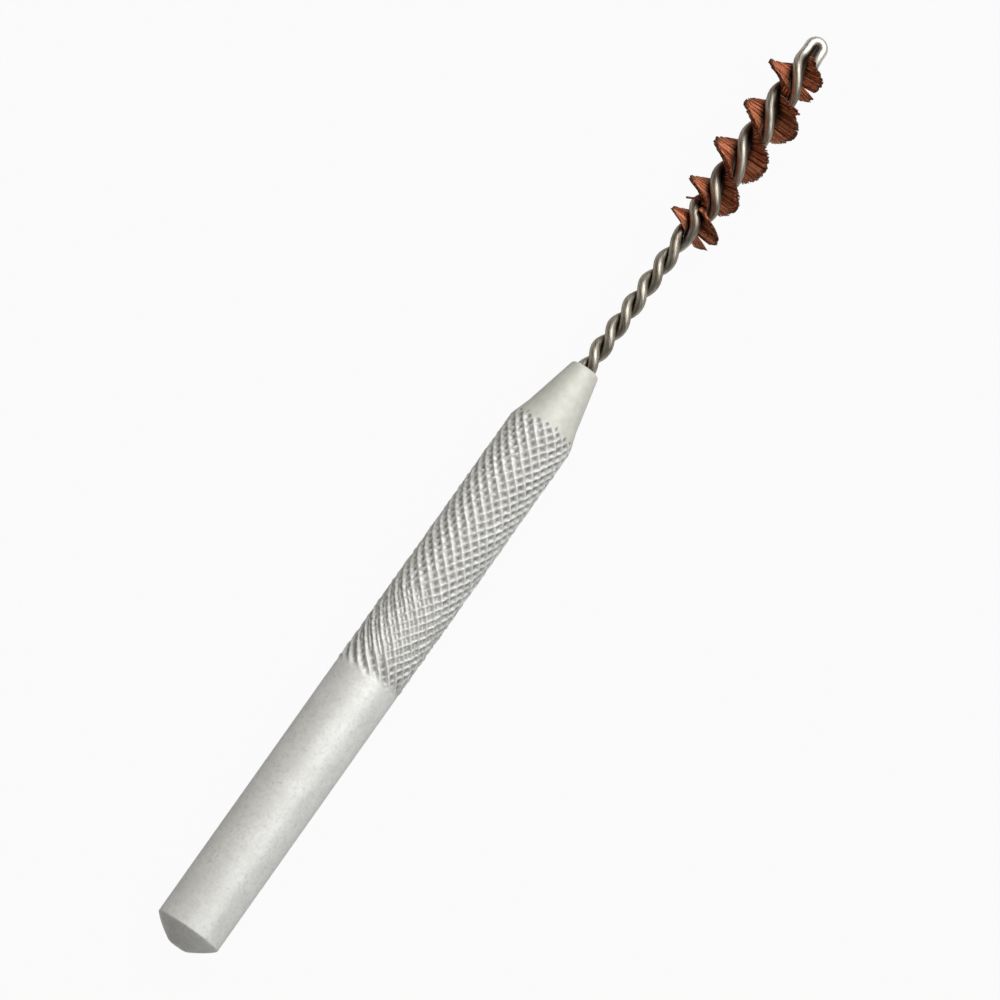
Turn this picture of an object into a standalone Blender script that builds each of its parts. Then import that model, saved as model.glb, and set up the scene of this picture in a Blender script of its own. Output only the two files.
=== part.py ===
"""Small twisted-wire brush on a knurled aluminium handle, for cleaning soldering tips and bores.

Metres, +Z up. The tool lies along X on the plane z = 0, its butt towards -X and its brush towards +X,
with the origin under the middle of its length. Each piece is modelled on the tool's own axis, where
x = 0 is the butt, and one empty carries that axis to its resting place.
"""

import math
import random

import bmesh
import bpy
from mathutils import Matrix, Vector

# Handle, turned from bar
HANDLE_LENGTH = 0.0803
HANDLE_DIAMETER = 0.0080
BUTT_CONE_LENGTH = 0.0019
BUTT_FLAT_DIAMETER = 0.0026
BUTT_EDGE_BREAK = 0.0003
TAPER_LENGTH = 0.0089
SHOULDER_LENGTH = 0.0022
SHOULDER_DIAMETER = 0.00656
NOSE_WALL = 0.00016
NOSE_EDGE_BREAK = 0.00030

# Diamond knurl, rolled up to the taper: raised ridges around pits
KNURL_LENGTH = 0.0346
KNURL_PITCH = 0.00146
KNURL_DIAMONDS_ROUND = 21
KNURL_RISE = 0.00012
KNURL_PIT_DEPTH = 0.00030

# Stem, one wire bent double at its eye and twisted together
WIRE_DIAMETER = 0.0012
STRAND_GAP = 0.0001
STEM_REACH = 0.0477
STEM_SEAT = 0.0140
STEM_PITCH = 0.0063
EYE_GAP = 0.00041
WIRE_POINT_SPACING = 0.00062
EYE_BEND_STEPS = 8
WIRE_BEVEL_RESOLUTION = 2

# Bore for the stem in the handle's nose
BORE_CLEARANCE = 0.0001
BORE_END_ROOM = 0.0006
DRILL_POINT_ANGLE = math.radians(118)

# Brush, filaments pinched between the two strands
BRUSH_LENGTH = 0.0254
BRUSH_DIAMETER = 0.0070
BRUSH_PITCH = 0.0114
BRUSH_TIP_MARGIN = 0.0026
PINCH_GAP = 0.00106
PINCH_CLEARANCE = 0.00015
PINCH_WIDTH = 0.0011
OPENING_BEFORE_BRUSH = 0.0020
OPENING_INTO_BRUSH = 0.0026
CLOSING_INTO_BRUSH = 0.0020
CLOSING_AFTER_BRUSH = 0.0006
SLOWING_BEFORE_BRUSH = 0.0010
SLOWING_INTO_BRUSH = 0.0050
STRAIGHTENING_INTO_BRUSH = 0.0014
BRISTLE_ROWS = 9
BRISTLE_COLUMNS = 13
BRISTLE_LAYERS = 2
BRISTLE_TIP_SIZE = 0.00013
BRISTLE_TIP_SPREAD = 0.00070
BRISTLE_LENGTH_SCATTER = 0.00018
BRISTLE_AXIAL_SCATTER = 0.00003
ROW_GAP = 0.00010
SCATTER_SEED = 11

# Places along the axis and radii that follow from the sizes above
HANDLE_RADIUS = HANDLE_DIAMETER / 2
SHOULDER_RADIUS = SHOULDER_DIAMETER / 2
WIRE_RADIUS = WIRE_DIAMETER / 2
OVERALL_LENGTH = HANDLE_LENGTH + STEM_REACH
TAPER_START = HANDLE_LENGTH - TAPER_LENGTH
SHOULDER_END = TAPER_START + SHOULDER_LENGTH
KNURL_START = TAPER_START - KNURL_LENGTH
KNURL_COLUMNS = 2 * KNURL_DIAMONDS_ROUND
KNURL_ROWS = round(KNURL_LENGTH / (KNURL_PITCH / 2))
KNURL_ROW_STEP = KNURL_LENGTH / KNURL_ROWS
CREST_RADIUS = HANDLE_RADIUS + KNURL_RISE
PIT_RADIUS = CREST_RADIUS - KNURL_PIT_DEPTH
REST_HEIGHT = CREST_RADIUS

STEM_TWIST_RADIUS = WIRE_RADIUS + STRAND_GAP / 2
BRUSH_TWIST_RADIUS = WIRE_RADIUS + PINCH_GAP / 2
EYE_RADIUS = WIRE_RADIUS + EYE_GAP / 2
STEM_TAIL = HANDLE_LENGTH - STEM_SEAT
EYE_START = OVERALL_LENGTH - WIRE_RADIUS - EYE_RADIUS
BRUSH_END = OVERALL_LENGTH - BRUSH_TIP_MARGIN
BRUSH_START = BRUSH_END - BRUSH_LENGTH

BORE_RADIUS = STEM_TWIST_RADIUS + WIRE_RADIUS + BORE_CLEARANCE
BORE_BOTTOM = STEM_TAIL - BORE_END_ROOM
NOSE_RADIUS = BORE_RADIUS + NOSE_WALL + NOSE_EDGE_BREAK
TWIST_STEP = 0.00005
MERGE_DISTANCE = 0.000001


def start_empty_scene():
    """Removes every object, and makes the collection and the axis empty that carry the pieces."""
    for obj in list(bpy.data.objects):
        bpy.data.objects.remove(obj)
    collection = bpy.data.collections.new("tip_cleaning_brush")
    bpy.context.scene.collection.children.link(collection)
    axis = bpy.data.objects.new("tool_axis", None)
    axis.location = (-OVERALL_LENGTH / 2, 0, REST_HEIGHT)
    collection.objects.link(axis)
    return collection, axis


def make_material(name, colour, roughness, metallic):
    material = bpy.data.materials.new(name)
    material.use_nodes = True
    shader = material.node_tree.nodes["Principled BSDF"]
    shader.inputs["Base Color"].default_value = (*colour, 1)
    shader.inputs["Roughness"].default_value = roughness
    shader.inputs["Metallic"].default_value = metallic
    return material


def add_piece(name, data, material, collection, axis):
    """Links a mesh or a curve as a named piece on the tool's axis."""
    data.materials.append(material)
    piece = bpy.data.objects.new(name, data)
    piece.parent = axis
    collection.objects.link(piece)
    return piece


def mesh_from(bm, name, sharp_angle):
    """A smooth-shaded mesh of the bmesh, with its edges sharper than the angle kept."""
    mesh = bpy.data.meshes.new(name)
    bm.to_mesh(mesh)
    bm.free()
    mesh.shade_smooth()
    mesh.set_sharp_from_angle(angle=sharp_angle)
    return mesh


def smooth_step(start, end, x):
    t = min(1.0, max(0.0, (x - start) / (end - start)))
    return t * t * (3 - 2 * t)


# Handle

def taper_radius(x):
    """Radius of the turned front: a short steep shoulder, then a slower taper to the broken edge of the nose."""
    if x < SHOULDER_END:
        share = max(0.0, (x - TAPER_START) / SHOULDER_LENGTH)
        return HANDLE_RADIUS + share * (SHOULDER_RADIUS - HANDLE_RADIUS)
    share = (x - SHOULDER_END) / (HANDLE_LENGTH - NOSE_EDGE_BREAK - SHOULDER_END)
    return SHOULDER_RADIUS + share * (NOSE_RADIUS - SHOULDER_RADIUS)


def handle_profile():
    """Half section as (x, radius), from the bore's drilled bottom out over the nose and down to the butt."""
    drill_point = BORE_RADIUS / math.tan(DRILL_POINT_ANGLE / 2)
    bore = [
        (BORE_BOTTOM - drill_point, 0),
        (BORE_BOTTOM, BORE_RADIUS),
        (HANDLE_LENGTH, BORE_RADIUS),
    ]
    nose = [
        (HANDLE_LENGTH, NOSE_RADIUS - NOSE_EDGE_BREAK),
        (HANDLE_LENGTH - NOSE_EDGE_BREAK, NOSE_RADIUS),
        (SHOULDER_END, SHOULDER_RADIUS),
    ]
    rows = []
    for row in range(KNURL_ROWS + 1, -1, -1):
        x = KNURL_START + row * KNURL_ROW_STEP
        rows.append((x, taper_radius(x)))
    butt_radius = BUTT_FLAT_DIAMETER / 2
    butt_slope = (HANDLE_RADIUS - butt_radius) / BUTT_CONE_LENGTH
    butt = [
        (BUTT_CONE_LENGTH + BUTT_EDGE_BREAK, HANDLE_RADIUS),
        (BUTT_CONE_LENGTH - BUTT_EDGE_BREAK, HANDLE_RADIUS - BUTT_EDGE_BREAK * butt_slope),
        (0, butt_radius),
        (0, 0),
    ]
    return bore + nose + rows + butt


def roll_knurl(bm):
    """Sinks every second point of the grip into a pit, and joins the points between them by slanting ridges."""
    column_angle = 2 * math.pi / KNURL_COLUMNS
    crests = []
    for vert in bm.verts:
        row = (vert.co.x - KNURL_START) / KNURL_ROW_STEP
        radius = math.hypot(vert.co.y, vert.co.z)
        if radius < PIT_RADIUS - KNURL_PIT_DEPTH or not -0.5 < row < KNURL_ROWS + 1.5:
            continue
        column = (math.atan2(vert.co.z, vert.co.y) + math.pi / 2) / column_angle
        is_crest = (round(row) + round(column)) % 2 == 0
        if is_crest:
            crests.append(vert)
        if round(row) > 0:
            target = CREST_RADIUS if is_crest else PIT_RADIUS
            if round(row) >= KNURL_ROWS:
                target = min(target, radius)
            vert.co.y *= target / radius
            vert.co.z *= target / radius
    bmesh.ops.connect_verts(bm, verts=crests)


def make_handle(collection, axis):
    """Turned bar with a coned butt, a diamond knurl, a tapered nose and a blind bore for the stem."""
    bm = bmesh.new()
    profile = [bm.verts.new((x, 0, -radius)) for x, radius in handle_profile()]
    edges = [bm.edges.new(pair) for pair in zip(profile, profile[1:])]
    bmesh.ops.spin(
        bm, geom=profile + edges, axis=(1, 0, 0), cent=(0, 0, 0),
        angle=2 * math.pi, steps=KNURL_COLUMNS, use_merge=True,
    )
    bmesh.ops.remove_doubles(bm, verts=bm.verts, dist=MERGE_DISTANCE)
    roll_knurl(bm)
    bmesh.ops.recalc_face_normals(bm, faces=bm.faces)
    aluminium = make_material("satin_aluminium", (0.74, 0.74, 0.71), 0.42, 1.0)
    mesh = mesh_from(bm, "handle", math.radians(14))
    return add_piece("handle", mesh, aluminium, collection, axis)


# Twisted wire

def twist_radius(x):
    """Distance of each strand's centre from the tool's axis: close, opened by the filaments, closed to the eye."""
    opened = smooth_step(BRUSH_START - OPENING_BEFORE_BRUSH, BRUSH_START + OPENING_INTO_BRUSH, x)
    closed = smooth_step(BRUSH_END - CLOSING_INTO_BRUSH, BRUSH_END + CLOSING_AFTER_BRUSH, x)
    radius = STEM_TWIST_RADIUS + opened * (BRUSH_TWIST_RADIUS - STEM_TWIST_RADIUS)
    return radius + closed * (EYE_RADIUS - radius)


def twist_rate(x):
    """Turn per metre of the left-handed twist: steep in the stem, longer in the brush, none at the eye."""
    slowed = smooth_step(BRUSH_START - SLOWING_BEFORE_BRUSH, BRUSH_START + SLOWING_INTO_BRUSH, x)
    straight = smooth_step(BRUSH_END - STRAIGHTENING_INTO_BRUSH, EYE_START, x)
    rate = (1 - slowed) / STEM_PITCH + slowed / BRUSH_PITCH
    return -2 * math.pi * rate * (1 - straight)


def twist_angle(x):
    """Angle of the first strand about the axis, summed back from the eye, whose two legs lie level."""
    steps = max(1, round((EYE_START - x) / TWIST_STEP))
    step = (EYE_START - x) / steps
    return -sum(twist_rate(x + (i + 0.5) * step) for i in range(steps)) * step


def strand_point(x, turn):
    angle = twist_angle(x) + turn
    radius = twist_radius(x)
    return Vector((x, radius * math.cos(angle), radius * math.sin(angle)))


def wire_route():
    """Centre line of the whole wire: up one strand, round the eye and down the other."""
    count = round((EYE_START - STEM_TAIL) / WIRE_POINT_SPACING)
    stations = [STEM_TAIL + (EYE_START - STEM_TAIL) * i / count for i in range(count + 1)]
    up = [strand_point(x, 0) for x in stations]
    down = [strand_point(x, math.pi) for x in reversed(stations)]
    bend = []
    for i in range(1, EYE_BEND_STEPS):
        angle = math.pi * i / EYE_BEND_STEPS
        bend.append(Vector((
            EYE_START + EYE_RADIUS * math.sin(angle), EYE_RADIUS * math.cos(angle), 0,
        )))
    strand_gap = min((a - b).length for a in up for b in down) - WIRE_DIAMETER
    print(f"twisted wire: {len(up) + len(bend) + len(down)} points, strands {strand_gap * 1000:.3f} mm apart")
    return up + bend + down


def make_stem(collection, axis):
    """One steel wire, bent double round its eye and twisted, with its two cut ends in the handle's bore."""
    curve = bpy.data.curves.new("twisted_wire_stem", "CURVE")
    curve.dimensions = "3D"
    curve.bevel_depth = WIRE_RADIUS
    curve.bevel_resolution = WIRE_BEVEL_RESOLUTION
    curve.use_fill_caps = True
    route = wire_route()
    spline = curve.splines.new("POLY")
    spline.points.add(len(route) - 1)
    for point, place in zip(spline.points, route):
        point.co = (*place, 1)
    steel = make_material("drawn_steel_wire", (0.46, 0.44, 0.40), 0.30, 1.0)
    return add_piece("twisted_wire_stem", curve, steel, collection, axis)


# Brush

def pinched_mat(bm, length, centre):
    """Block of filaments squeezed flat between the strands, its two sides divided into one cell a filament."""
    bmesh.ops.create_cube(bm, size=1)
    bmesh.ops.scale(bm, vec=(length, PINCH_WIDTH, 1), verts=bm.verts)
    along = [e for e in bm.edges if abs((e.verts[0].co - e.verts[1].co).x) > length / 2]
    bmesh.ops.subdivide_edges(bm, edges=along, cuts=BRISTLE_COLUMNS - 1, use_grid_fill=True)
    across = [e for e in bm.edges if abs((e.verts[0].co - e.verts[1].co).z) > 0.5]
    bmesh.ops.subdivide_edges(bm, edges=across, cuts=BRISTLE_LAYERS - 1, use_grid_fill=True)
    bmesh.ops.recalc_face_normals(bm, faces=bm.faces)
    for vert in bm.verts:
        gap = 2 * twist_radius(centre + vert.co.x) - WIRE_DIAMETER
        vert.co.z *= gap - 2 * PINCH_CLEARANCE


def draw_out_bristles(bm, scatter):
    """Draws each cell on the mat's two sides out to a bristle, thinner and spread at its tip."""
    bm.normal_update()
    cells = [f for f in bm.faces if abs(f.normal.y) > 0.9]
    drawn = bmesh.ops.extrude_discrete_faces(bm, faces=cells)["faces"]
    for face in drawn:
        root = face.calc_center_median()
        side = math.copysign(1, root.y)
        spread = math.copysign(BRISTLE_TIP_SPREAD / 2, root.z)
        reach = BRUSH_DIAMETER / 2 - scatter.uniform(0, BRISTLE_LENGTH_SCATTER)
        drift = scatter.uniform(-BRISTLE_AXIAL_SCATTER, BRISTLE_AXIAL_SCATTER)
        tip = Vector((root.x + drift, side * reach, spread))
        for vert in face.verts:
            corner = vert.co - root
            vert.co = tip + Vector((
                math.copysign(BRISTLE_TIP_SIZE / 2, corner.x), 0,
                math.copysign(BRISTLE_TIP_SIZE / 2, corner.z),
            ))
    return len(drawn)


def make_bristle_row(index, scatter, material, collection, axis):
    """One slice of the brush: its pinched mat and the bristles on both sides, turned with the wire's twist."""
    row_step = BRUSH_LENGTH / BRISTLE_ROWS
    centre = BRUSH_START + (index + 0.5) * row_step
    quarter_turn = math.pi / 2
    bm = bmesh.new()
    pinched_mat(bm, row_step - ROW_GAP, centre)
    count = draw_out_bristles(bm, scatter)
    for vert in bm.verts:
        turn = twist_angle(centre + vert.co.x) - twist_angle(centre)
        vert.co = Matrix.Rotation(turn, 3, "X") @ vert.co
    name = f"bristle_row_{index + 1}"
    mesh = mesh_from(bm, name, math.radians(30))
    row = add_piece(name, mesh, material, collection, axis)
    row.location = (centre, 0, 0)
    row.rotation_euler = (twist_angle(centre) - quarter_turn, 0, 0)
    return count


def make_brush(collection, axis):
    """All the bristle rows, from the handle's side of the brush to its tip."""
    bronze = make_material("bronze_bristle", (0.43, 0.16, 0.07), 0.38, 1.0)
    scatter = random.Random(SCATTER_SEED)
    counts = [make_bristle_row(i, scatter, bronze, collection, axis) for i in range(BRISTLE_ROWS)]
    print(f"brush: {sum(counts)} bristles in {BRISTLE_ROWS} rows")


def main():
    collection, axis = start_empty_scene()
    make_handle(collection, axis)
    make_stem(collection, axis)
    make_brush(collection, axis)


main()
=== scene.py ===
# %% [markdown]
# # A twisted-wire brush for cleaning soldering tips
# This lesson dresses a small bench tool. It has three kinds of piece: a turned aluminium handle with a
# knurled grip, one steel wire bent double and twisted, and the fine bronze filaments that the twist grips.
# The solids that are loaded first are the frame. They say how long, how thick and where each piece is, and
# every piece made here takes the place of one of them, with the surface that the solid leaves out.

# %% Load the solids
import math
import random

import bmesh
import bpy
from mathutils import Matrix, Vector, noise


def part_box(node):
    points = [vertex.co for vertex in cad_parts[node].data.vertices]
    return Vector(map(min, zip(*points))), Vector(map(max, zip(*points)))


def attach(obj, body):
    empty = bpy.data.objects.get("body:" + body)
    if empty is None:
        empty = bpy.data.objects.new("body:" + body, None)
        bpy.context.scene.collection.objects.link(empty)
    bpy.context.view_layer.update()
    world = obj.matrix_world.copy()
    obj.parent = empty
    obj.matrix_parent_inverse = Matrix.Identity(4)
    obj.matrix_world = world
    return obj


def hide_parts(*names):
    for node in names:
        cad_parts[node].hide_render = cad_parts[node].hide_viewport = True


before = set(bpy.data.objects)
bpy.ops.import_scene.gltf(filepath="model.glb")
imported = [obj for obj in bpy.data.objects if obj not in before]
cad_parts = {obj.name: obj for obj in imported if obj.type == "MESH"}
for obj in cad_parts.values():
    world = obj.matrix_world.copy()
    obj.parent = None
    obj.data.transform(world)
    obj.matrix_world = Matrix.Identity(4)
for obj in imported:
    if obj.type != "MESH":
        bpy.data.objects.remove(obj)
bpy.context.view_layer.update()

print("solids:", ", ".join(sorted(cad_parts)))

# %% [markdown]
# ## The tool's axis
# Every piece is round about one axis, so it is easiest to model them all along X with the butt at x = 0, and
# to move each finished shape to its resting place once. The axis and the ends are read from the solids'
# boxes, and sizes are written in millimetres times MM, because Blender's unit here is the metre.

# %% Read the axis from the solids
MM = 0.001
handle_low, handle_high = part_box("handle")
stem_low, stem_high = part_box("twisted_wire_stem")
BUTT_PLACE = Vector((handle_low.x, 0, (handle_low.z + handle_high.z) / 2))
HANDLE_LENGTH = handle_high.x - handle_low.x
TIP = stem_high.x - handle_low.x
STEM_TAIL = stem_low.x - handle_low.x
BRUSH_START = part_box("bristle_row_1")[0].x - handle_low.x
BRUSH_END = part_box("bristle_row_9")[1].x - handle_low.x
print(f"handle {HANDLE_LENGTH / MM:.1f} mm, whole tool {TIP / MM:.1f} mm, "
      f"brush from {BRUSH_START / MM:.1f} to {BRUSH_END / MM:.1f} mm")

# %% [markdown]
# ## Camera
# The photograph looks almost straight down at a tool that lies slantwise in the square. The butt is a little
# wider than the rest of the bar, so the camera stands nearer to it: a long lens, three quarters of a metre
# away and leaning ten degrees. Its three directions are written out, which says more than three angles would.

# %% Place the camera
CAMERA_DISTANCE = 0.750
CAMERA_LEAN = math.radians(10.5)
TOOL_SLANT = math.radians(35.30)
PICTURE_PIXELS = 1000
PIXELS_PER_METRE = 8849
CENTRE_OFFSET = Vector((4.1, 15.2)) / PIXELS_PER_METRE

forward = Vector((math.sin(CAMERA_LEAN), 0, -math.cos(CAMERA_LEAN)))
along_tool = Vector((math.cos(CAMERA_LEAN), 0, math.sin(CAMERA_LEAN)))
across_tool = Vector((0, -1, 0))
picture_up = along_tool * math.cos(TOOL_SLANT) - across_tool * math.sin(TOOL_SLANT)
picture_right = along_tool * math.sin(TOOL_SLANT) + across_tool * math.cos(TOOL_SLANT)

tool_centre = BUTT_PLACE + Vector((TIP / 2, 0, 0))
looks_at = tool_centre - picture_right * CENTRE_OFFSET.x - picture_up * CENTRE_OFFSET.y
lens = bpy.data.cameras.new("camera")
lens.sensor_width = 36
lens.lens = lens.sensor_width * CAMERA_DISTANCE * PIXELS_PER_METRE / PICTURE_PIXELS
camera = bpy.data.objects.new("camera", lens)
camera.matrix_world = Matrix.LocRotScale(
    looks_at - forward * CAMERA_DISTANCE,
    Matrix((picture_right, picture_up, -forward)).transposed().to_quaternion(), None,
)
bpy.context.scene.collection.objects.link(camera)
bpy.context.scene.camera = camera
bpy.context.scene.view_settings.view_transform = "Standard"
print(f"camera: {lens.lens:.0f} mm lens at {CAMERA_DISTANCE:.2f} m")

# %% [markdown]
# ## Shader sums in Python
# A finish is a graph of nodes, and a long graph is hard to read as code. This class wraps one output socket,
# so that `1 - mask` or `grain * 0.2 + 0.4` adds the Math nodes by itself. Colours go through Mix nodes,
# because a Math node would turn them grey. Every other node comes from the one method that sets its options
# first and its sockets after them.

# %% Wrap a socket
class Signal:
    """An output of a shader node, which Python arithmetic carries on into further nodes."""

    def __init__(self, tree, socket):
        self.tree = tree
        self.socket = socket

    @classmethod
    def node(cls, tree, kind, settings=None, inputs=None, output=0):
        made = tree.nodes.new(kind)
        for name, value in (settings or {}).items():
            setattr(made, name, value)
        for name, value in (inputs or {}).items():
            if isinstance(value, cls):
                tree.links.new(value.socket, made.inputs[name])
            else:
                made.inputs[name].default_value = value
        return cls(tree, made.outputs[output])

    def math(self, operation, *values):
        return Signal.node(self.tree, "ShaderNodeMath", {"operation": operation}, dict(enumerate(values)))

    def __add__(self, other):
        return self.math("ADD", self, other)

    def __radd__(self, other):
        return self.math("ADD", other, self)

    def __sub__(self, other):
        return self.math("SUBTRACT", self, other)

    def __rsub__(self, other):
        return self.math("SUBTRACT", other, self)

    def __mul__(self, other):
        return self.math("MULTIPLY", self, other)

    def __rmul__(self, other):
        return self.math("MULTIPLY", other, self)

    def __pow__(self, other):
        return self.math("POWER", self, other)

    def between(self, low, high):
        """0 below low, 1 above high and a smooth slope from one to the other."""
        return Signal.node(
            self.tree, "ShaderNodeMapRange", {"interpolation_type": "SMOOTHSTEP"},
            {"Value": self, "From Min": low, "From Max": high},
        )

    def blend(self, first, second):
        """The first colour where this is 0 and the second where it is 1."""
        first, second = ((*c, 1) if isinstance(c, tuple) else c for c in (first, second))
        return Signal.node(self.tree, "ShaderNodeMix", {"data_type": "RGBA"}, {0: self, 6: first, 7: second}, 2)


# %% Start a finish
def new_finish(name):
    """A material with its Principled shader, and its node tree to build on."""
    material = bpy.data.materials.new(name)
    material.use_nodes = True
    return material, material.node_tree, material.node_tree.nodes["Principled BSDF"]


def feed(shader, socket, signal):
    shader.id_data.links.new(signal.socket, shader.inputs[socket])


def noise_signal(tree, vector, scale, detail=2.0, roughness=0.5):
    return Signal.node(
        tree, "ShaderNodeTexNoise", {},
        {"Vector": vector, "Scale": scale, "Detail": detail, "Roughness": roughness},
    )


def object_place(tree):
    return Signal.node(tree, "ShaderNodeTexCoord", {}, {}, "Object")


def attribute(tree, name, output="Fac"):
    return Signal.node(tree, "ShaderNodeAttribute", {"attribute_name": name}, {}, output)


def bump(tree, height, depth, strength=1.0):
    return Signal.node(tree, "ShaderNodeBump", {}, {"Height": height, "Distance": depth, "Strength": strength})


# %% [markdown]
# ## Floor and light
# The photograph was cut out on white, so the floor is white to the camera and in reflections, through the
# Light Path node, and it is a plain grey floor to all other light. A share of its own shading is kept, and with
# it a faint shadow under the tool. One large soft lamp stands above the brush's end, so the coned butt and the
# under faces of the spiral stay dark. A second one to the right draws the sheen along the bar, which lies where
# the metal mirrors it to the camera. A weak warm lamp on the left keeps the dark side of the bar readable, and
# the sky is almost black: an even sky would flatten the roundness of the bar.

# %% Lay the floor
FLOOR_HALF_SIZE = 3.0
FLOOR_SHADE_SHARE = 0.045

bm = bmesh.new()
bmesh.ops.create_grid(bm, x_segments=1, y_segments=1, size=FLOOR_HALF_SIZE)
floor_mesh = bpy.data.meshes.new("floor")
bm.to_mesh(floor_mesh)
bm.free()
floor = bpy.data.objects.new("floor", floor_mesh)
bpy.context.scene.collection.objects.link(floor)

white_floor, tree, shader = new_finish("white_floor")
shader.inputs["Base Color"].default_value = (0.15, 0.15, 0.15, 1)
shader.inputs["Roughness"].default_value = 0.9
shader.inputs["Specular IOR Level"].default_value = 0.0
seen = sum((Signal.node(tree, "ShaderNodeLightPath", {}, {}, ray) for ray in
            ("Is Camera Ray", "Is Glossy Ray", "Is Transmission Ray")), 0)
white = Signal.node(tree, "ShaderNodeEmission", {}, {"Strength": 1.0})
shaded = Signal(tree, shader.outputs["BSDF"])
surface = Signal.node(tree, "ShaderNodeMixShader", {},
                      {0: seen.math("MINIMUM", seen, 1.0) * (1 - FLOOR_SHADE_SHARE), 1: shaded, 2: white})
tree.links.new(surface.socket, tree.nodes["Material Output"].inputs["Surface"])
floor_mesh.materials.append(white_floor)
print(f"floor: {2 * FLOOR_HALF_SIZE:.0f} m square, {FLOOR_SHADE_SHARE:.0%} of its shading kept")

# %% Hang the lamps
LAMP_DISTANCE = 2.0
KEY_SIZE, KEY_POWER = 1.1, 36.0
SHEEN_SIZE, SHEEN_POWER = 1.0, 14.0
FILL_SIZE, FILL_POWER = 1.2, 3.8
FILL_COLOUR = (1.0, 0.90, 0.72)
SKY_STRENGTH = 0.01


def hang_lamp(name, direction, size, power, colour):
    """A square soft lamp in that direction from the tool, turned to face it."""
    light = bpy.data.lights.new(name, "AREA")
    light.size = size
    light.energy = power
    light.color = colour
    lamp = bpy.data.objects.new(name, light)
    lamp.location = tool_centre + direction.normalized() * LAMP_DISTANCE
    lamp.rotation_euler = direction.to_track_quat("Z", "Y").to_euler()
    bpy.context.scene.collection.objects.link(lamp)
    return lamp


hang_lamp("key_lamp", Vector((0.70, -0.06, 1.0)), KEY_SIZE, KEY_POWER, (1, 1, 1))
hang_lamp("sheen_lamp", Vector((0.18, -0.55, 0.80)), SHEEN_SIZE, SHEEN_POWER, (1, 1, 1))
hang_lamp("fill_lamp", Vector((-0.35, 0.75, 0.35)), FILL_SIZE, FILL_POWER, FILL_COLOUR)
world = bpy.data.worlds.new("dim_sky")
world.use_nodes = True
world.node_tree.nodes["Background"].inputs["Color"].default_value = (1, 1, 1, 1)
world.node_tree.nodes["Background"].inputs["Strength"].default_value = SKY_STRENGTH
bpy.context.scene.world = world
print(f"light: lamps of {KEY_POWER}, {SHEEN_POWER} and {FILL_POWER} W, sky at {SKY_STRENGTH}")

# %% [markdown]
# ## Handing a piece over
# Each finished shape moves from the modelling axis to the tool's place, becomes one object at the origin, and is
# then tied to the frame: it rides on the tool's only body and replaces the solid that it stands for.

# %% Add a piece to the tool
def add_piece(bm, name, finish, slot, *solids):
    bmesh.ops.translate(bm, vec=BUTT_PLACE, verts=bm.verts)
    mesh = bpy.data.meshes.new(name)
    bm.to_mesh(mesh)
    bm.free()
    mesh.shade_smooth()
    mesh.materials.append(finish)
    piece = bpy.data.objects.new(name, mesh)
    bpy.context.scene.collection.objects.link(piece)
    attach(piece, "root")
    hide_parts(*solids)
    print(f"{name}: {len(mesh.polygons)} faces")
    return piece


# %% [markdown]
# ## Handle: the turned shape
# The handle is turned from 8 mm bar: a coned butt with a small flat, a plain half, a knurled grip and a taper to
# the nose, which is drilled for the wire. A turned part is a half section spun about its axis. The rows of points
# lie close together along the grip, because the knurl is pressed into them next. The lathe leaves no perfect
# edge, so the rings at the butt and the nose are bevelled after the spin.

# %% Draw the half section and spin it
HANDLE_RADIUS = 4.0 * MM
BUTT_CONE_LENGTH = 2.05 * MM
BUTT_FLAT_RADIUS = 1.15 * MM
BUTT_BULGE = 0.22 * MM
TAPER_LENGTH = 8.9 * MM
SHOULDER_LENGTH = 2.2 * MM
SHOULDER_RADIUS = 3.28 * MM
NOSE_RADIUS = 1.74 * MM
BORE_RADIUS = 1.35 * MM
BORE_DEPTH = 15.0 * MM
KNURL_LENGTH = 34.6 * MM
KNURL_RUN_OUT = 1.3 * MM
KNURL_ROW_STEP = 0.12 * MM
HANDLE_COLUMNS = 264

TAPER_START = HANDLE_LENGTH - TAPER_LENGTH
SHOULDER_END = TAPER_START + SHOULDER_LENGTH
KNURL_START = TAPER_START - KNURL_LENGTH


def front_radius(x):
    """Radius of the turned front: a short steep shoulder, then a slower taper to the nose."""
    if x < SHOULDER_END:
        return HANDLE_RADIUS + (SHOULDER_RADIUS - HANDLE_RADIUS) * (x - TAPER_START) / SHOULDER_LENGTH
    return SHOULDER_RADIUS + (NOSE_RADIUS - SHOULDER_RADIUS) * (x - SHOULDER_END) / (HANDLE_LENGTH - SHOULDER_END)


def stations(first, last, step):
    count = round((last - first) / step)
    return [first + (last - first) * i / count for i in range(count + 1)]


def butt_cone():
    """(x, radius) from the small flat to the full bar: a cone that swells a little, as filed ones do."""
    for i in range(9):
        share = i / 8
        straight = BUTT_FLAT_RADIUS + (HANDLE_RADIUS - BUTT_FLAT_RADIUS) * share
        yield BUTT_CONE_LENGTH * share, straight + BUTT_BULGE * 4 * share * (1 - share)


def handle_section():
    """(x, radius) from the middle of the butt over the outside to the bottom of the bore."""
    grip = stations(KNURL_START - KNURL_RUN_OUT, TAPER_START + 0.8 * MM, KNURL_ROW_STEP)
    shoulder = stations(TAPER_START + 1.1 * MM, SHOULDER_END, 0.25 * MM)
    front = shoulder + stations(SHOULDER_END, HANDLE_LENGTH, 0.6 * MM)[1:]
    return [
        (0, 0), *butt_cone(),
        *((x, min(HANDLE_RADIUS, front_radius(x))) for x in grip + front),
        (HANDLE_LENGTH, BORE_RADIUS),
        (HANDLE_LENGTH - BORE_DEPTH, BORE_RADIUS), (HANDLE_LENGTH - BORE_DEPTH, 0),
    ]


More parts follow.
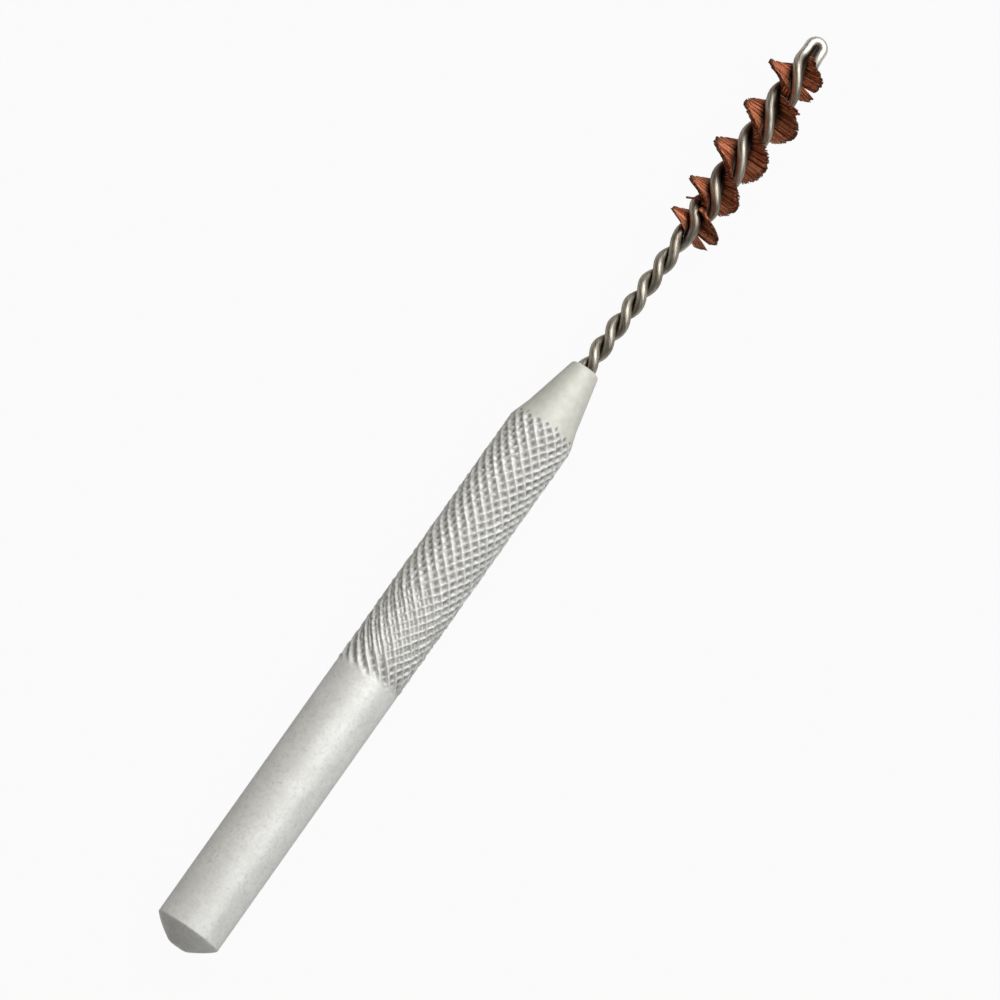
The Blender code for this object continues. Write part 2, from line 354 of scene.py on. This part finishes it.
def spin_section(section, columns):
    bm = bmesh.new()
    points = [bm.verts.new((x, radius, 0)) for x, radius in section]
    lines = [bm.edges.new(pair) for pair in zip(points, points[1:])]
    bmesh.ops.spin(bm, geom=points + lines, axis=(1, 0, 0), cent=(0, 0, 0),
                   angle=2 * math.pi, steps=columns, use_merge=True)
    bmesh.ops.remove_doubles(bm, verts=bm.verts, dist=0.001 * MM)
    bmesh.ops.recalc_face_normals(bm, faces=bm.faces)
    return bm


handle = spin_section(handle_section(), HANDLE_COLUMNS)
print(f"handle: {len(handle.verts)} points after the spin")


# %% Break the turned edges
def ring_edges(bm, x, radius):
    """The edges of the ring at that place along the axis and that radius."""
    def on_ring(vert):
        return abs(vert.co.x - x) < 0.01 * MM and abs(math.hypot(vert.co.y, vert.co.z) - radius) < 0.01 * MM
    return [edge for edge in bm.edges if all(on_ring(vert) for vert in edge.verts)]


for x, radius, width, steps in (
    (0, BUTT_FLAT_RADIUS, 0.20 * MM, 4),
    (BUTT_CONE_LENGTH, HANDLE_RADIUS, 0.12 * MM, 3),
    (HANDLE_LENGTH, NOSE_RADIUS, 0.26 * MM, 4),
    (HANDLE_LENGTH, BORE_RADIUS, 0.06 * MM, 2),
):
    ring = ring_edges(handle, x, radius)
    bmesh.ops.bevel(handle, geom=ring, offset=width, offset_type="OFFSET", affect="EDGES",
                    segments=steps, profile=0.5, material=-1)
    print(f"edge at {x / MM:.1f} mm: {len(ring)} edges broken by {width / MM:.2f} mm")

# %% [markdown]
# ## Handle: the diamond knurl
# A knurl is rolled, not cut: two hard wheels with slanting teeth press crossed grooves, and the metal swells up
# between them. Here the raised lines form a net around small pits. Modelling a net of ridges as separate pieces
# would leave seams, and a bump map would leave the outline smooth, so the points of the grip are moved in and out
# along their own radius. Each family of lines is a cosine of a sum of the place along the bar and the angle round
# it. The two wheels were not alike: one leaves 17 lines round the bar, the other 23.

# %% Two families of ridges
KNURL_PITCH = 1.49 * MM
LINES_FALLING = 17
LINES_RISING = 23
KNURL_RISE = 0.12 * MM
KNURL_DEPTH = 0.47 * MM


def smooth_step(low, high, value):
    """0 at low, 1 at high and a smooth slope between them, in either direction."""
    t = min(1.0, max(0.0, (value - low) / (high - low)))
    return t * t * (3 - 2 * t)


def ridge(phase, sharpness=1.2):
    """Height of one ridge: 1 along its top, falling almost straight to 0 half way to the next one."""
    return (1 - math.acos(math.cos(phase)) / math.pi) ** sharpness


def knurl_height(x, angle):
    """How far the net stands up, from 0 on a pit's floor to 1 on a ridge, and how deep the wheels pressed there."""
    turn = 2 * math.pi * x / KNURL_PITCH
    round_bar = Vector((x / (1.6 * MM), 2.6 * math.cos(angle), 2.6 * math.sin(angle)))
    stagger = 0.5 * noise.noise(round_bar)
    falling, rising = turn + LINES_FALLING * angle + stagger, turn - LINES_RISING * angle - 1.4 * stagger
    finger = 0.45 * MM * noise.noise(Vector((3.1 * math.cos(angle), 3.1 * math.sin(angle), 0)))
    fade_in = smooth_step(KNURL_START - 0.5 * MM, KNURL_START + 0.9 * MM, x + finger)
    left = smooth_step(0.1, 0.9, math.cos(angle - math.radians(35)))
    second_wheel = smooth_step(0, 3.0 * MM, x - KNURL_START - left * 3.5 * MM)
    broken = 0.90 + 0.40 * noise.noise(2.7 * round_bar + Vector((7, 0, 0)))
    skipped = smooth_step(1.5 * MM, 3.5 * MM, x - KNURL_START) * smooth_step(13 * MM, 10 * MM, x - KNURL_START)
    sharpness = 1.2 + 0.7 * skipped
    first = ridge(falling, sharpness) * (0.95 + 0.20 * noise.noise(2.2 * round_bar + Vector((0, 5, 0))))
    second = ridge(rising, sharpness) * (0.45 + 0.55 * second_wheel) * broken
    between = skipped * max(0.80 * ridge(2 * falling), 0.45 * ridge(2 * rising)) * broken
    crumbs = 0.12 * noise.noise(5.5 * round_bar)
    net = min(1.0, 0.92 * max(first, second, between) + 0.12 * ridge(falling) * ridge(rising) + crumbs)
    wear = 1 - 0.25 * abs(noise.noise(Vector((x / (2.2 * MM), 2.5 * math.cos(angle), 2.5 * math.sin(angle)))))
    return net * wear, fade_in


# %% Press the knurl
pit_layer = handle.verts.layers.float.new("pit")
crest_highlight_layer = handle.verts.layers.float.new("crest_highlight")
right_side_shade_layer = handle.verts.layers.float.new("right_side_shade")
taper_layer = handle.verts.layers.float.new("taper")
for vert in handle.verts:
    x, radius = vert.co.x, math.hypot(vert.co.y, vert.co.z)
    vert[taper_layer] = smooth_step(TAPER_START - 0.2 * MM, TAPER_START + 0.5 * MM, x)
    if radius < 2 * BORE_RADIUS or not KNURL_START - KNURL_RUN_OUT < x < SHOULDER_END:
        continue
    height, pressed = knurl_height(x, math.atan2(vert.co.z, vert.co.y))
    knurled = HANDLE_RADIUS + pressed * (KNURL_RISE - KNURL_DEPTH * (1 - height))
    new_radius = min(knurled, front_radius(x))
    vert.co.yz = vert.co.yz * (new_radius / radius)
    # The three layers set below are masks for the finish: how deep a point lies in its pit, the crests of the ridges
    # for a painted highlight, and the right side of the bar for painted shade.
    uncut = pressed * smooth_step(0, 0.05 * MM, front_radius(x) - knurled)
    vert[pit_layer] = uncut * (1 - height)
    vert[crest_highlight_layer] = uncut * smooth_step(0.60, 0.90, height)
    vert[right_side_shade_layer] = smooth_step(0.3, -0.8, vert.co.y / new_radius)
bmesh.ops.recalc_face_normals(handle, faces=handle.faces)
print(f"knurl: {LINES_FALLING} lines one way and {LINES_RISING} the other, {KNURL_DEPTH / MM:.2f} mm deep")

# %% [markdown]
# ## Finish: blasted aluminium
# The handle is pale grey and satin, with a fine even grain from blasting and a few dark specks. The slopes and
# floors of the knurl's pits carry painted shade with some dirt, darker on the right side of the bar, and the crests
# of the ridges carry a painted highlight. The taper has been handled most and is yellower and duller than the bar.
# The colour varies very little, so the grain goes mostly into roughness and bump. Blasting leaves a coat of tiny
# facets that scatters light as paint does, so only a fifth of the surface is set as metal.

# %% Satin aluminium
aluminium, tree, shader = new_finish("satin_aluminium")
place = object_place(tree)
grain = noise_signal(tree, place, 7000, 3.0, 0.6)
blast = noise_signal(tree, place, 2600, 3.0, 0.7)
patch = noise_signal(tree, place, 300, 3.0, 0.6)
cloud = noise_signal(tree, place, 1300, 2.0, 0.6)
specks = noise_signal(tree, place, 2600, 0.0).between(0.72, 0.82)
pit = attribute(tree, "pit")
crest_highlight = attribute(tree, "crest_highlight")
right_side_shade = attribute(tree, "right_side_shade")
taper = attribute(tree, "taper")

metal = patch.between(0.3, 0.7).blend((0.765, 0.763, 0.735), (0.838, 0.838, 0.818))
metal = (cloud.between(0.35, 0.75) * 0.62).blend(metal, (0.71, 0.705, 0.67))
handled = cloud.between(0.3, 0.7).blend((0.60, 0.592, 0.515), (0.70, 0.694, 0.625))
metal = (taper * 0.85).blend(metal, handled)
metal = (blast.between(0.40, 0.75) * 0.35).blend(metal, (0.58, 0.575, 0.545))
metal = (specks * 0.20).blend(metal, (0.40, 0.39, 0.36))
# Painted shade with some dirt: the slopes and floors of the pits are darkened, more on the right side of the bar.
metal = (pit.between(0.04, 0.22) * (0.35 + right_side_shade * 0.30)).blend(metal, (0.52, 0.515, 0.49))
metal = (pit.between(0.50, 0.95) * (0.30 + cloud * 0.70 + right_side_shade * 0.15)).blend(metal, (0.18, 0.175, 0.16))
# Painted highlight: the tops of the ridges are made paler.
metal = (crest_highlight * 0.6).blend(metal, (0.92, 0.92, 0.90))
feed(shader, "Base Color", metal)
feed(shader, "Roughness", 0.46 + grain * 0.12 + taper * 0.14)
feed(shader, "Normal", bump(tree, grain, 0.012 * MM, 0.7))
shader.inputs["Metallic"].default_value = 0.22
shader.inputs["Specular IOR Level"].default_value = 0.15
handle_piece = add_piece(handle, "turned_handle", aluminium, "handle_metal", "handle")

# %% [markdown]
# ## Stem: one wire, bent double and twisted
# The stem is a single wire. It is folded in half, filaments are laid in the fold, and the two legs are twisted
# together, so the fold is left as an eye at the tip. Its route is a left-hand double helix whose radius and pitch
# change along the tool: tight in the bare stem, opened by the filaments in the brush, straight at the eye. The
# angle is summed in small steps back from the eye, where the two legs lie level.

# %% The twist along the tool
WIRE_RADIUS = 0.60 * MM
STEM_PITCH = 6.3 * MM
BRUSH_PITCH = 11.4 * MM
STEM_TWIST_RADIUS = 0.595 * MM
BRUSH_TWIST_RADIUS = 1.13 * MM
EYE_RADIUS = 0.805 * MM
EYE_START = TIP - WIRE_RADIUS - EYE_RADIUS
TWIST_STEP = 0.02 * MM


def twist_radius(x):
    opened = smooth_step(BRUSH_START - 1.2 * MM, BRUSH_START + 2.6 * MM, x)
    closed = smooth_step(BRUSH_END - 2.0 * MM, BRUSH_END + 0.6 * MM, x)
    radius = STEM_TWIST_RADIUS + opened * (BRUSH_TWIST_RADIUS - STEM_TWIST_RADIUS)
    return radius + closed * (EYE_RADIUS - radius)


def twist_rate(x):
    slowed = smooth_step(BRUSH_START - 1.0 * MM, BRUSH_START + 5.0 * MM, x)
    straight = smooth_step(BRUSH_END - 1.4 * MM, EYE_START, x)
    return 2 * math.pi * ((1 - slowed) / STEM_PITCH + slowed / BRUSH_PITCH) * (1 - straight)


twist_sums = [0.0]
for step in range(round((EYE_START - STEM_TAIL) / TWIST_STEP) + 2):
    twist_sums.append(twist_sums[-1] + twist_rate(EYE_START - (step + 0.5) * TWIST_STEP) * TWIST_STEP)


def twist_angle(x):
    """Angle of the first leg about the axis. The twist is a little slack where the filaments begin."""
    steps = max(0.0, (EYE_START - x) / TWIST_STEP)
    whole = int(steps)
    slack = 0.77 * math.exp(-(((x - BRUSH_START) / MM - 2.1) / 3.0) ** 2)
    return twist_sums[whole] + (steps - whole) * (twist_sums[whole + 1] - twist_sums[whole]) + slack


def bow(x):
    """Sideways bow of the stem: a thin wire that has been used is never quite straight."""
    share = max(0.0, (x - HANDLE_LENGTH) / (TIP - HANDLE_LENGTH))
    return -0.42 * MM * math.sin(0.80 * math.pi * share ** 1.25)


print(f"twist: {twist_angle(STEM_TAIL) / (2 * math.pi):.1f} turns from the eye to the handle")

# %% [markdown]
# ## Stem: bending a straight rod
# A straight rod with many rings is made first: a cylinder whose long edges are divided. Each of its points then
# knows how far along the wire it lies and on which side, and moves to the same place on the bent route, as Blender's
# Curve modifier would do. Doing it here keeps those two numbers, which the finish needs: drawing marks run along the
# wire, and painted shade darkens the side that faces the other leg.

# %% Make a straight rod
def straight_rod(sides, rings):
    """A capped rod of radius 1 from z = -1 to z = 1."""
    bm = bmesh.new()
    bmesh.ops.create_cone(bm, cap_ends=True, segments=sides, radius1=1, radius2=1, depth=2)
    long_edges = [edge for edge in bm.edges if abs(edge.verts[0].co.z - edge.verts[1].co.z) > 1]
    bmesh.ops.subdivide_edges(bm, edges=long_edges, cuts=rings - 2)
    return bm


# %% The wire's route
WIRE_SIDES = 16
WIRE_RING_STEP = 0.2 * MM
EYE_BEND_RINGS = 28


def leg_place(x, turn):
    """Centre of a leg and the direction that points away from the axis there."""
    angle = twist_angle(x) + turn
    outward = Vector((0, math.cos(angle), math.sin(angle)))
    return Vector((x, 0, 0)) + outward * twist_radius(x), outward


def wire_route():
    places = stations(STEM_TAIL, EYE_START, WIRE_RING_STEP)
    route = [leg_place(x, 0) for x in places]
    for i in range(1, EYE_BEND_RINGS):
        angle = math.pi * i / EYE_BEND_RINGS
        outward = Vector((math.sin(angle), math.cos(angle), 0))
        route.append((Vector((EYE_START, 0, 0)) + outward * EYE_RADIUS, outward))
    return route + [leg_place(x, math.pi) for x in reversed(places)]


# %% Bend the rod along the route
route = wire_route()
wire = straight_rod(WIRE_SIDES, len(route))
drawn_layer = wire.verts.layers.float_vector.new("drawn")
groove_shade_layer = wire.verts.layers.float.new("groove_shade")
eye_highlight_layer = wire.verts.layers.float.new("eye_highlight")
for vert in wire.verts:
    ring = round((vert.co.z + 1) / 2 * (len(route) - 1))
    centre, outward = route[ring]
    ahead = (route[min(ring + 1, len(route) - 1)][0] - route[max(ring - 1, 0)][0]).normalized()
    sideways = ahead.cross(outward).normalized()
    outward = sideways.cross(ahead)
    vert[drawn_layer] = Vector((ring * WIRE_RING_STEP / MM * 0.05, vert.co.x, vert.co.y))
    # The side that faces the other leg is a mask for painted shade.
    vert[groove_shade_layer] = 0.5 - 0.5 * vert.co.x
    # Near the tip a mask for a painted highlight rises from 0 to 1.
    vert[eye_highlight_layer] = smooth_step(TIP - 4.0 * MM, TIP - 1.6 * MM, centre.x)
    vert.co = centre + WIRE_RADIUS * (outward * vert.co.x + sideways * vert.co.y)
    vert.co.y += bow(vert.co.x)
bmesh.ops.recalc_face_normals(wire, faces=wire.faces)
print(f"wire: {len(route)} rings of {WIRE_SIDES}")

# %% [markdown]
# ## Finish: tarnished steel wire
# Drawn wire has fine marks along its length. This one has dulled to a brownish grey. Its colour is painted paler
# toward the eye as a highlight, and painted near black as shade on the side of each leg that faces the other. The
# marks are noise on the attribute that follows the wire, stretched along it.

# %% Drawn steel
steel, tree, shader = new_finish("drawn_steel")
drawn = attribute(tree, "drawn", "Vector")
streaks = noise_signal(tree, drawn, 5.0, 3.0, 0.6)
tarnish = noise_signal(tree, object_place(tree), 420, 3.0, 0.6)
groove_shade = attribute(tree, "groove_shade")
eye_highlight = attribute(tree, "eye_highlight")
steel_colour = streaks.between(0.30, 0.70).blend((0.26, 0.225, 0.175), (0.60, 0.56, 0.485))
steel_colour = (tarnish.between(0.45, 0.75) * 0.6).blend(steel_colour, (0.17, 0.13, 0.085))
# Painted highlight: the wire turns pale toward the eye.
steel_colour = (eye_highlight * 0.9).blend(steel_colour, (0.80, 0.765, 0.69))
# Painted shade: the side of each leg that faces the other turns near black, less at the eye.
steel_colour = (groove_shade.between(0.55, 0.95) * (0.9 - eye_highlight * 0.75)).blend(steel_colour, (0.030, 0.024, 0.018))
feed(shader, "Base Color", steel_colour)
feed(shader, "Roughness", 0.40 + streaks * 0.20)
feed(shader, "Normal", bump(tree, streaks, 0.012 * MM, 0.5))
shader.inputs["Metallic"].default_value = 1.0
shader.inputs["Specular Tint"].default_value = (0.12, 0.10, 0.08, 1)
add_piece(wire, "twisted_wire", steel, "stem_wire", "twisted_wire_stem")

# %% [markdown]
# ## Brush: one filament, many times
# The bristles are short lengths of thin bronze wire. Each one lies right across the stem, pinched at its middle, so
# it makes two bristles at once. One straight four-sided rod is the pattern for all of them. Every copy is bent on
# its own route: out along the direction of the twist, with its two ends drawn along the stem by their own amounts,
# and a little ragged in length. The brush is nine pieces, as its solids are.

# %% The pattern filament
FILAMENT_RADIUS = 0.050 * MM
FILAMENT_RINGS = 8
FILAMENTS_PER_ROW = 230

pattern = bpy.data.meshes.new("pattern_filament")
rod = straight_rod(4, FILAMENT_RINGS)
bmesh.ops.recalc_face_normals(rod, faces=rod.faces)
rod.to_mesh(pattern)
rod.free()
print(f"filament: {len(pattern.polygons)} faces")


# %% Bend one filament into the brush
def brush_angle(x):
    """Direction of the filaments about the axis: square to the line from leg to leg."""
    return twist_angle(x) - math.pi / 2


def add_filament(bm, layers, x, depth, ends, rng):
    """A filament across the stem at x, at a depth between the legs. Each end has its reach and its drift along x."""
    bm.from_mesh(pattern)
    bm.verts.ensure_lookup_table()
    strand = noise.noise(Vector((x / (0.20 * MM), depth / (0.35 * MM), 0)))
    tone = min(1.0, max(0.0, 0.5 + 0.95 * strand + rng.uniform(-0.30, 0.30)))
    wave = rng.uniform(-0.06, 0.06) * MM
    across = Vector((0, math.cos(brush_angle(x)), math.sin(brush_angle(x))))
    normal = Vector((0, -across.z, across.y))
    for vert in bm.verts[-len(pattern.vertices):]:
        share = abs(vert.co.z)
        reach, drift = ends[vert.co.z > 0]
        along = x + drift * share ** 1.5 + wave * math.sin(3 * share)
        lift = depth * (1 - 0.15 * share) + vert.co.x * FILAMENT_RADIUS
        vert[layers["tone"]] = tone
        vert[layers["reach"]] = share
        vert.co = (Vector((along + vert.co.y * FILAMENT_RADIUS, bow(along), 0))
                   + across * math.copysign(share * reach, vert.co.z) + normal * lift)


# %% [markdown]
# ## Finish: bronze filaments
# The filaments are copper-red bronze, drawn bright and then dulled, with each one a slightly different tone. Near
# the stem, where they crowd together, their colour is painted almost black as shade, and toward each cut end it is
# painted dark as shade too. Neighbours that stick together share their tone, so the tone follows a noise along the
# brush.

# %% Bronze
bronze, tree, shader = new_finish("bronze_filament")
tone = attribute(tree, "tone")
reach = attribute(tree, "reach")
mottle = noise_signal(tree, object_place(tree), 2200, 2.0)
copper = tone.blend((0.29, 0.036, 0.009), (0.88, 0.365, 0.180))
copper = (mottle.between(0.45, 0.75) * 0.4).blend(copper, (0.24, 0.062, 0.030))
# Painted shade: near black at the roots, where the filaments crowd against the stem.
copper = (1 - reach.between(0.16, 0.54)).blend(copper, (0.036, 0.021, 0.014))
# Painted shade: dark toward each cut end.
copper = (reach.between(0.88, 1.0) * 0.88).blend(copper, (0.055, 0.022, 0.013))
feed(shader, "Base Color", copper)
feed(shader, "Roughness", 0.42 + mottle * 0.2)
shader.inputs["Metallic"].default_value = 0.35
shader.inputs["Specular IOR Level"].default_value = 0.15
print("bronze: shade by filament, darker at the root")

# %% [markdown]
# ## Brush: fins and fans
# The twist turns the filaments into a screw, so the brush shows five fins on each side. From a camera that leans,
# the fins on the left look narrow and those on the right open into fans, although both are the same screw. The fins
# differ in reach, and at the two ends use has drawn the filaments into clumps. So each end asks first whether a
# clump holds it, and otherwise takes the reach and the pull of its fin.

# %% The shape of the brush
LEFT, RIGHT = 1, -1
FINS = {
    # reach of each fin, and how far its ends are drawn together
    LEFT: [(3.1 * MM, 0.0), (3.45 * MM, 0.04), (3.65 * MM, 0.0), (3.35 * MM, 0.0), (2.7 * MM, 0.2)],
    RIGHT: [(3.2 * MM, 0.1), (3.2 * MM, 0.10), (3.35 * MM, 0.03), (3.85 * MM, 0.28), (3.2 * MM, 0.2)],
}
CLUMPS = [
    # side, first and last place of the roots, place of the tip, pull, reach, fall of the reach away from the tip
    (LEFT, 99.0 * MM, 103.9 * MM, 101.1 * MM, 0.10, 3.15 * MM, 0.25),
    (LEFT, 119.9 * MM, 121.1 * MM, 121.1 * MM, 0.30, 2.8 * MM, 0.25),
    (LEFT, 121.2 * MM, 122.6 * MM, 121.95 * MM, 0.0, 3.8 * MM, 0.25),
    (LEFT, 122.6 * MM, 125.4 * MM, 122.7 * MM, 0.35, 3.05 * MM, 0.25),
    (RIGHT, 99.0 * MM, 100.8 * MM, 100.1 * MM, 0.75, 4.0 * MM, 0.25),
    (RIGHT, 100.8 * MM, 104.0 * MM, 101.2 * MM, 0.45, 3.85 * MM, 0.65),
    (RIGHT, 119.6 * MM, 122.0 * MM, 121.4 * MM, 0.62, 3.3 * MM, 0.35),
    (RIGHT, 122.0 * MM, 125.4 * MM, 123.4 * MM, 0.30, 3.2 * MM, 0.25),
]
fin_centres = []
for place in stations(BRUSH_START, BRUSH_END, 0.05 * MM):
    if math.sin(brush_angle(place)) * math.sin(brush_angle(place + 0.05 * MM)) <= 0:
        fin_centres.append(place)
print("fins at", ", ".join(f"{place / MM:.1f}" for place in fin_centres), "mm")


def end_of(x, side, rng):
    """Reach and drift along the stem of the end that points to that side."""
    tuft = max(0.0, noise.noise(Vector((x / (0.45 * MM), 5.0 * side, 0))))
    ragged = rng.random() ** 3 * 0.45 * MM + tuft * 0.60 * MM
    for clump_side, first, last, tip, pull, reach, fall in CLUMPS:
        if side == clump_side and first < x < last:
            return reach - ragged - fall * abs(tip - x), (tip - x) * pull
    fin = min(range(len(fin_centres)), key=lambda i: abs(fin_centres[i] - x))
    reach, pull = FINS[side][min(fin, 4)]
    return reach - ragged, (fin_centres[fin] - x) * pull


# %% [markdown]
# ## Brush: the pinched core
# Between the legs the filaments are packed so tight that no light comes through. Drawing each of them there would be
# wasted, so every row has one flat twisted block at its root, coloured with the painted shade of the roots. The last
# row runs on into the eye, where the fold of the wire has caught a few short ends, and fills its slot with the same
# painted shade.

# %% A flat twisted block
CORE_HALF_WIDTH = 0.75 * MM


def add_core(bm, layers, first, last):
    """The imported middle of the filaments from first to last, filling the room between the legs."""
    places = stations(first, last, 0.2 * MM)
    core = bpy.data.meshes.new("core")
    rod = straight_rod(4, len(places))
    rod.to_mesh(core)
    rod.free()
    bm.from_mesh(core)
    bm.verts.ensure_lookup_table()
    for vert in bm.verts[-len(core.vertices):]:
        x = places[round((vert.co.z + 1) / 2 * (len(places) - 1))]
        across = Vector((0, math.cos(brush_angle(x)), math.sin(brush_angle(x))))
        normal = Vector((0, -across.z, across.y))
        half_gap = max(0.02 * MM, twist_radius(x) - WIRE_RADIUS) * 1.1
        corner = Vector((vert.co.x, vert.co.y))
        wide = CORE_HALF_WIDTH * math.copysign(1, corner.x + corner.y)
        tall = half_gap * math.copysign(1, corner.y - corner.x)
        # tone 0.2 and reach 0.1 give the block the painted shade of the roots.
        vert[layers["tone"]] = 0.2
        vert[layers["reach"]] = 0.1
        vert.co = Vector((x, bow(x), 0)) + across * wide + normal * tall


# %% Strays
STRAYS = [
    # row, root and tip of an end that has come loose
    (2, Vector((104.2, 0.3, 1.6)) * MM, Vector((102.95, 2.35, 2.1)) * MM),
    (7, Vector((118.75, -0.9, 0.9)) * MM, Vector((118.65, -2.55, 1.0)) * MM),
    (7, Vector((118.95, -0.9, 0.8)) * MM, Vector((118.85, -2.75, 0.9)) * MM),
    (7, Vector((119.15, -0.9, 0.9)) * MM, Vector((119.00, -2.35, 1.1)) * MM),
]
STRAY_RADIUS = 0.13 * MM


def add_stray(bm, layers, root, tip):
    """A few filaments that stick together, have left their fin and point their own way."""
    bm.from_mesh(pattern)
    bm.verts.ensure_lookup_table()
    turn = (tip - root).to_track_quat("Z", "Y")
    for vert in bm.verts[-len(pattern.vertices):]:
        # tone 0.1 is a dark tone of its own, and reach 0.95 puts the stray in the painted shade of the cut ends.
        vert[layers["tone"]] = 0.1
        vert[layers["reach"]] = 0.95
        sideways = turn @ Vector((vert.co.x, vert.co.y, 0)) * STRAY_RADIUS
        vert.co = root.lerp(tip, (vert.co.z + 1) / 2) + sideways
        vert.co.y += bow(vert.co.x)


# %% Fill the brush row by row
ROWS = 9
rng = random.Random(11)
row_length = (BRUSH_END - BRUSH_START) / ROWS
for row in range(ROWS):
    bm = bmesh.new()
    layers = {name: bm.verts.layers.float.new(name) for name in ("tone", "reach")}
    first = BRUSH_START + row * row_length
    core_start = first if row else first - 1.4 * MM
    core_end = first + row_length if row < ROWS - 1 else EYE_START + 0.15 * MM
    add_core(bm, layers, core_start, core_end)
    for i in range(FILAMENTS_PER_ROW):
        x = first + (i + rng.random()) / FILAMENTS_PER_ROW * row_length
        room = max(0.04 * MM, twist_radius(x) - WIRE_RADIUS - FILAMENT_RADIUS)
        depth = rng.uniform(-room, room)
        side = LEFT if math.cos(brush_angle(x)) > 0 else RIGHT
        ends = {False: end_of(x, -side, rng), True: end_of(x, side, rng)}
        add_filament(bm, layers, x, depth, ends, rng)
    for stray_row, root, tip in STRAYS:
        if stray_row == row + 1:
            add_stray(bm, layers, root, tip)
    add_piece(bm, f"filaments_{row + 1}", bronze, "bristle_metal", f"bristle_row_{row + 1}")
